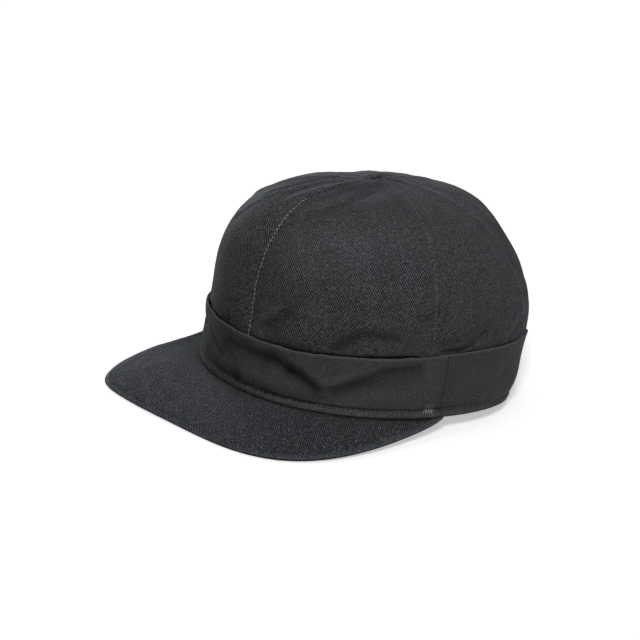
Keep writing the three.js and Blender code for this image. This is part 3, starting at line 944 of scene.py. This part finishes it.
# Painted shade beside the band and along the binding, by mm, and fading with painted highlight at the
# corner, by degrees. The rows lie closer near the free edge.
BESIDE_BAND_SHADE = [(-0.75, 0, 0.7)]
BESIDE_BINDING_SHADE = [(-0.3, 2.4, 0.5)]
CORNER_FADING_AND_HIGHLIGHT = [(0.12, -23, 9)]
COVER_ROWS = np.concatenate([np.linspace(0, 0.9, 34), np.linspace(0.9, 1, 12)[1:]])[None, :]


def cover_wear_and_painted_light(angle, inset, length):
    """Painted shade beside the band, along the binding and towards the wearer's right; the corner is
    paler, partly faded and partly painted highlight
    """
    from_band = np.maximum(length - inset - BAND_CLOTH, 0)
    # Painted shade beside the band, towards the wearer's right and along the binding; the corner is paler
    # by fading and painted highlight
    wear_and_painted_light = humps(BESIDE_BAND_SHADE, from_band) - 0.25 * np.exp(-from_band / 4)
    wear_and_painted_light -= 0.04 + 0.14 * (below(angle, 6, 10) + 0.6 * below(angle, -40, 5))
    wear_and_painted_light += humps(BESIDE_BINDING_SHADE, inset) * on_left(angle)
    return wear_and_painted_light + humps(CORNER_FADING_AND_HIGHLIGHT, angle) * np.exp(-inset / 9)


def build_cover():
    angle = peak_angles(PEAK["end"], 190)
    length = peak_length(angle)
    rim = np.minimum(RIM_INSET, length / 2)
    inset = length + (rim - length) * COVER_ROWS
    outer, inner = peak_point(angle, inset, 1, 0), peak_point(angle, inset, -1, 0)
    cloth = pattern(outer[..., 0], outer[..., 1], LAYERS["cover"])
    wear_and_painted_light = cover_wear_and_painted_light(angle, inset, length)
    cloth_solid("peak_cover", "peak_twill", PEAK_TWILL, outer, inner, cloth, wear_and_painted_light)


def build_lining():
    angle = peak_angles(PEAK["end"], 120)
    length = peak_length(angle)
    last = np.minimum(BINDING_WIDTH, length / 2 - GAP) + GAP
    inset = length + (last - length) * np.linspace(0, 1, 24)[None, :]
    outer, inner = peak_point(angle, inset, -1, GAP), peak_point(angle, inset, -1, GAP + PEAK_LINING)
    cloth = pattern(outer[..., 0], outer[..., 1], LAYERS["lining"])
    cloth_solid("peak_lining", "lining_twill", LINING_TWILL, outer, inner, cloth, 0 * inset)


# The binding's underside lies a small step further in and is painted dark as shade. On the wearer's right
# the strip's upper leg is pressed flat, and the strip is thinner.
BINDING_END = 76.2
BINDING_LEG = 2.1
STEP = 0.3
PRESSED = 0.85
LEAST_THICKNESS = 0.45
BINDING_LIFT = [(0.12, 2.6, 3, 41), (0.12, 12, 9, 42)]


def shaded_underside(side):
    """1 on the strip's underside below the step, painted dark as shade, 0 above it"""
    return below(side, -0.26, 0.05)


def binding_face(angle, away, nose, step=0):
    """The strip's face round the edge; below a step it falls back by that many mm"""
    length = peak_length(angle)
    width = np.minimum(BINDING_WIDTH, length / 2 - GAP)
    turn = np.radians(np.linspace(90, -90, 25))[None, :]
    reach = nose - step * shaded_underside(np.sin(turn))
    leg = np.linspace(1, 0, 5)[None, :-1]
    inset_over = RIM_INSET + (np.minimum(width, BINDING_LEG) - RIM_INSET) * leg
    inset_nose = RIM_INSET - reach * np.cos(turn) + 0 * angle
    inset_under = RIM_INSET + (width - RIM_INSET) * leg
    inset = join(inset_over, inset_nose, inset_under[:, ::-1])
    side = join(0 * inset_over + 1, np.sin(turn) + 0 * angle, 0 * inset_under - 1)
    pressed = 1 - PRESSED * (1 - on_left(angle)) * clamp(side * 2)
    return inset, side, peak_point(angle, inset, side, away * pressed)


def build_binding():
    angle = peak_angles(BINDING_END, 420)
    left = on_left(angle)
    bright = above(angle, 2, 5)
    thick = BINDING * (LEAST_THICKNESS + (1 - LEAST_THICKNESS) * bright)
    inset, side, outer = binding_face(angle, GAP + thick, RIM_INSET, STEP)
    _, _, inner = binding_face(angle, GAP, GAP)
    run, over = run_length(peak_edge(angle), 0), run_length(outer, 1)
    outer[..., 2] += waves(BINDING_LIFT, run, over) * np.where(side > -0.5, 1, 0)
    cloth = pattern(run, over, LAYERS["binding"])
    # On the wearer's left: a little paler round the fold's front and painted shade on the underside; on
    # the right: painted highlight; at the front the upper face is darker
    wear_and_painted_light = (0.12 * bell(side, 0.2, 0.4) - 0.95 * shaded_underside(side)) * left + 0.45 * (1 - left)
    wear_and_painted_light -= 0.2 * bright * above(side, 0.75, 0.12)
    cloth_solid("peak_binding", "binding_twill", BINDING_TWILL, outer, inner, cloth, wear_and_painted_light)


build_cover()
build_lining()
build_binding()


# Stitches: rows of short threads that lie on the cloth and dip into it at both ends

STITCH_SIDES = 8
STITCH_RINGS = np.array([0, 0.06, 0.2, 0.5, 0.8, 0.94, 1])
STITCH_DIP = 0.35
# Unevenness of the starts in pitches, of the lengths as a share and of the lean in jitters
UNEVEN = dict(start=0.1, length=0.15, lean=0.5)
# The twist's offset from one stitch to the next, in mm
TWIST_OFFSET = 3.7


def stitch_row(path, normals, length, gap, jitter, seed, kept=1):
    """Starts, ends and normals of the stitches along a path; only a kept share of them is made"""
    marks = run_length(path, 0)
    count = int(marks[-1] / (length + gap))
    chance = np.random.default_rng(seed)
    start = (np.arange(count) + UNEVEN["start"] * chance.uniform(-1, 1, count)) * (length + gap)
    end = start + length * (1 + UNEVEN["length"] * chance.uniform(-1, 1, count))

    def place(values, where):
        return np.stack([np.interp(where, marks, values[:, axis]) for axis in range(3)], -1)

    normal = unit(place(normals, (start + end) / 2))
    first, last = place(path, start), place(path, end)
    side = unit(np.cross(normal, last - first))
    shift = side * jitter * chance.uniform(-1, 1, count)[:, None]
    turn = side * jitter * UNEVEN["lean"] * chance.uniform(-1, 1, count)[:, None]
    there = chance.uniform(0, 1, count) < kept
    return (first + shift - turn)[there], (last + shift + turn)[there], normal[there]


def stitches(name, rows, thickness, cloth, slot, rise=0.3):
    """One piece of all the stitches of some rows"""
    start, end, normal = (np.concatenate(parts) for parts in zip(*rows))
    along = unit(end - start)
    side = unit(np.cross(normal, along))
    normal = np.cross(along, side)
    share = STITCH_RINGS[None, :, None, None]
    turn = np.linspace(0, 2 * np.pi, STITCH_SIDES, endpoint=False)[None, None, :, None]
    bulge = np.sqrt(np.maximum(1 - (2 * share - 1) ** 4, 0.02))
    radius = thickness / 2 * bulge
    height = thickness * (rise * bulge - STITCH_DIP * (1 - bulge))
    start, end, normal, side = (values[:, None, None, :] for values in (start, end, normal, side))
    ring = start + (end - start) * share + normal * height
    points = ring + radius * (np.cos(turn) * side + np.sin(turn) * normal)
    count, rings, sides = points.shape[:3]
    index = np.arange(count * rings * sides).reshape(count, rings, sides)
    after = np.roll(index, -1, axis=2)
    quads = np.stack([index[:, :-1], after[:, :-1], after[:, 1:], index[:, 1:]], -1).reshape(-1, 4)
    low, high = index[:, 0], index[:, -1]
    caps = []
    for k in range(sides // 2 - 1):
        corners = [k, k + 1, sides - 2 - k, sides - 1 - k]
        caps.append(low[:, corners[::-1]])
        caps.append(high[:, corners])
    run = share * np.linalg.norm(end - start, axis=-1, keepdims=True)
    run = run + TWIST_OFFSET * np.arange(count)[:, None, None, None]
    twist = pattern(run + 0 * turn, turn, 0)
    attributes = dict(cloth_mm=twist.reshape(count, -1, 3))
    dress(make_mesh(name, points, np.concatenate([quads, *caps]), cloth, attributes), slot)


# Stitches of each kind of row: length, gap and jitter in mm
FRONT_STITCH = (1.65, 1, 0.16)
SEAM_STITCH = (1.5, 1.3, 0.12)
HEM_STITCH = (1.7, 1.1, 0.22)
FRONT_ROW_TOP = 0.62
SEAM_ROWS = [
    ("side_left", SEAMS[1]),
    ("back_left", SEAMS[2]),
    ("back_right", -SEAMS[3]),
    ("back_right", -SEAMS[2]),
    ("side_right", -SEAMS[1]),
]


def seam_path(panel, seam, distance, last=0.955):
    """A line on a panel beside one of its seams, from the band towards the crown's top"""
    height = np.linspace(0.012, last, 260)
    plain = crown_point(np.full_like(height, seam), height)
    span = PANELS["crown_" + panel]
    side = 1 if span[0] == seam else -1
    return crown_surface(span, seam + side * np.degrees(distance / apex_radius(plain)), height)


def build_seam_stitches():
    front = seam_path("front_right", 0, 0.85, FRONT_ROW_TOP)
    stitches("front_seam_stitches", [stitch_row(*front, *FRONT_STITCH, 51)], 0.46, LIGHT_THREAD,
             "crown_twill", rise=0.2)
    rows = [stitch_row(*seam_path(*row, 1.1), *SEAM_STITCH, 52 + k) for k, row in enumerate(SEAM_ROWS)]
    stitches("crown_seam_stitches", rows, 0.36, GREY_THREAD, "crown_twill")


def band_normals(angle, height):
    return face_normal(band_point, angle, height, 0.4, 0.012)


def band_path(start, end, below_crease=0):
    angle = np.linspace(start, end, int((end - start) * 4))
    height = hem_crease_height(angle) - below_crease
    return band_point(angle, height), band_normals(angle, height)


# The hem's rows end at the band's joints and leave out the bar tack in the picture
HEM_ROWS = [(-JOINT + 1, 67), (72.6, JOINT), (JOINT + 1, 359 - JOINT)]
# Lint over the hem: from, to, height below the crease, then length, gap and jitter in mm
LINT_ROWS = [
    (-50, 68, 0.03, 0.9, 1.2, 0.6),
    (-20, 66, 0.05, 0.8, 1.6, 0.6),
    (12, 42, 0.035, 0.8, 0.9, 0.6),
]
LINT_KEPT = 0.4


def build_hem_stitches():
    rows = [stitch_row(*band_path(*row), *HEM_STITCH, 71 + k) for k, row in enumerate(HEM_ROWS)]
    stitches("hem_stitches", rows, 0.4, DARK_THREAD, "band_twill", rise=0.1)
    rows = []
    for seed, (start, end, below_crease, *stitch) in enumerate(LINT_ROWS, start=91):
        rows.append(stitch_row(*band_path(start, end, below_crease), *stitch, seed, kept=LINT_KEPT))
    stitches("hem_lint", rows, 0.34, GREY_THREAD, "band_twill", rise=0.15)


# Bar tacks: zigzags of steep stitches at the lower corners of the band's front length
TACK_ANGLES = (70.4, -70.4)
TACK_COLUMNS = np.linspace(-1.7, 1.7, 9)
TACK_LEAN = 0.25
TACK_INSET = -0.1


def bar_tack(middle, low, high, seed):
    chance = np.random.default_rng(seed)
    count = len(TACK_COLUMNS)
    foot_height = low + 0.012 * chance.uniform(-1, 1, count)
    head_height = high + 0.02 * chance.uniform(-1, 1, count)
    lean = TACK_LEAN * (-1) ** np.arange(count) + 0.1 * chance.uniform(-1, 1, count)
    foot = band_point(middle + TACK_COLUMNS - lean, foot_height, TACK_INSET)
    head = band_point(middle + TACK_COLUMNS + lean, head_height, TACK_INSET)
    return foot, head, band_normals(middle + TACK_COLUMNS, (foot_height + head_height) / 2)


def build_bar_tacks(name, low, high, cloth):
    rows = [bar_tack(middle, low, high, seed) for seed, middle in enumerate(TACK_ANGLES, start=81)]
    stitches(name, rows, 0.42, cloth, "band_twill", rise=0.45)


build_seam_stitches()
build_hem_stitches()
build_bar_tacks("bar_tacks", 0.08, 0.135, LIGHT_THREAD)
build_bar_tacks("bar_tack_tops", 0.15, 0.23, DARK_THREAD)


# Floor, light and camera

# Lights: azimuth, elevation and spread in degrees, strength and colour
CAP_LIGHTS = [
    (70, 42, 32, 3.95, (0.98, 0.985, 1.03)),
    (0, 86, 40, 0.15, (0.97, 0.985, 1.04)),
    (10, 25, 35, 1.5, (1, 1, 0.97)),
    (-115, 12, 30, 1.6, (0.95, 0.99, 1.05)),
]
FLOOR_LIGHTS = [(31.5, 32, 10, 2.5, (1, 1, 1)), (-60, 78, 30, 0.35, (1, 1, 1))]
WORLD_STRENGTH = 0.08
WHITE = (1, 1, 1, 1)
FLOOR_Z = -0.0004
FLOOR_SOCKETS = {
    "Base Color": (0.9, 0.9, 0.9, 1),
    "Roughness": 1,
    "Specular IOR Level": 0,
    "Emission Color": WHITE,
    "Emission Strength": 0.5,
}
DOME_SOCKETS = {"Base Color": (0, 0, 0, 1), "Emission Color": WHITE, "Emission Strength": 1.05}


def whiten(name, sockets):
    """Names and whitens the object just made; its glow doesn't light the cap"""
    made = bpy.context.object
    made.name = name
    made.data.materials.append(new_shader(name + "_white", sockets)[0])
    made.visible_diffuse = False
    return made


def build_floor():
    bpy.ops.mesh.primitive_plane_add(size=60, location=(0, 0, FLOOR_Z))
    floor = whiten("floor", FLOOR_SOCKETS)
    floor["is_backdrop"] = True
    return floor


def build_backdrop():
    """A white dome behind low views, seen by the camera alone"""
    bpy.ops.mesh.primitive_uv_sphere_add(radius=12, location=(0, 0, 0))
    dome = whiten("backdrop", DOME_SOCKETS)
    dome.visible_glossy = False
    dome.visible_shadow = False
    dome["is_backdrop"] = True


def towards(azimuth, elevation):
    """A direction: azimuth from the front towards the wearer's left, and elevation"""
    a, e = math.radians(azimuth), math.radians(elevation)
    return Vector((math.sin(a) * math.cos(e), -math.cos(a) * math.cos(e), math.sin(e)))


def sun(name, azimuth, elevation, spread, strength, colour, lit):
    """A soft light from a direction, for the objects that it lights alone"""
    lamp = bpy.data.lights.new(name, "SUN")
    lamp.energy = strength
    lamp.color = colour
    lamp.angle = math.radians(spread)
    holder = add_object(name, lamp)
    holder.rotation_euler = towards(azimuth, elevation).to_track_quat("Z", "Y").to_euler()
    receivers = bpy.data.collections.new(name + "_receivers")
    for item in lit:
        receivers.objects.link(item)
    holder.light_linking.receiver_collection = receivers


def build_light(floor):
    world = bpy.data.worlds.new("studio")
    world.use_nodes = True
    background = world.node_tree.nodes["Background"]
    background.inputs["Color"].default_value = WHITE
    background.inputs["Strength"].default_value = WORLD_STRENGTH
    bpy.context.scene.world = world
    for number, light in enumerate(CAP_LIGHTS):
        sun(f"cap_light_{number}", *light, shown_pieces())
    for number, light in enumerate(FLOOR_LIGHTS):
        sun(f"floor_light_{number}", *light, [floor])
    view = bpy.context.scene.view_settings
    view.view_transform = "Standard"
    view.look = "None"


# The camera looks past a reference point of the cap by offsets in the picture's plane, all in mm. The
# focal length is in pixels.
CAMERA = dict(azimuth=40.372, elevation=16.564, roll=8.085, distance=1015, focal=1666.2)
CAMERA_REFERENCE = np.array([0, -MIDDLE_Y, 60.4])
CAMERA_OFFSET = (28.78, 19.55)
PICTURE_PIXELS = 640
SENSOR_WIDTH = 36


def build_camera():
    roll = math.radians(CAMERA["roll"])
    back = np.array(towards(CAMERA["azimuth"], CAMERA["elevation"]))
    right = np.array(towards(CAMERA["azimuth"] + 90, 0))
    up = np.cross(back, right)
    leaned_right = right * math.cos(roll) + up * math.sin(roll)
    leaned_up = up * math.cos(roll) - right * math.sin(roll)
    target = CAMERA_REFERENCE - CAMERA_OFFSET[0] * leaned_right - CAMERA_OFFSET[1] * leaned_up
    camera = bpy.data.cameras.new("camera")
    camera.sensor_width = SENSOR_WIDTH
    camera.lens = CAMERA["focal"] / PICTURE_PIXELS * SENSOR_WIDTH
    camera.clip_end = 200
    holder = add_object("camera", camera)
    axes = Matrix((leaned_right, leaned_up, back)).transposed().to_4x4()
    axes.translation = Vector((target + back * CAMERA["distance"]) * MM)
    holder.matrix_world = axes
    bpy.context.scene.camera = holder


build_light(build_floor())
build_backdrop()
build_camera()
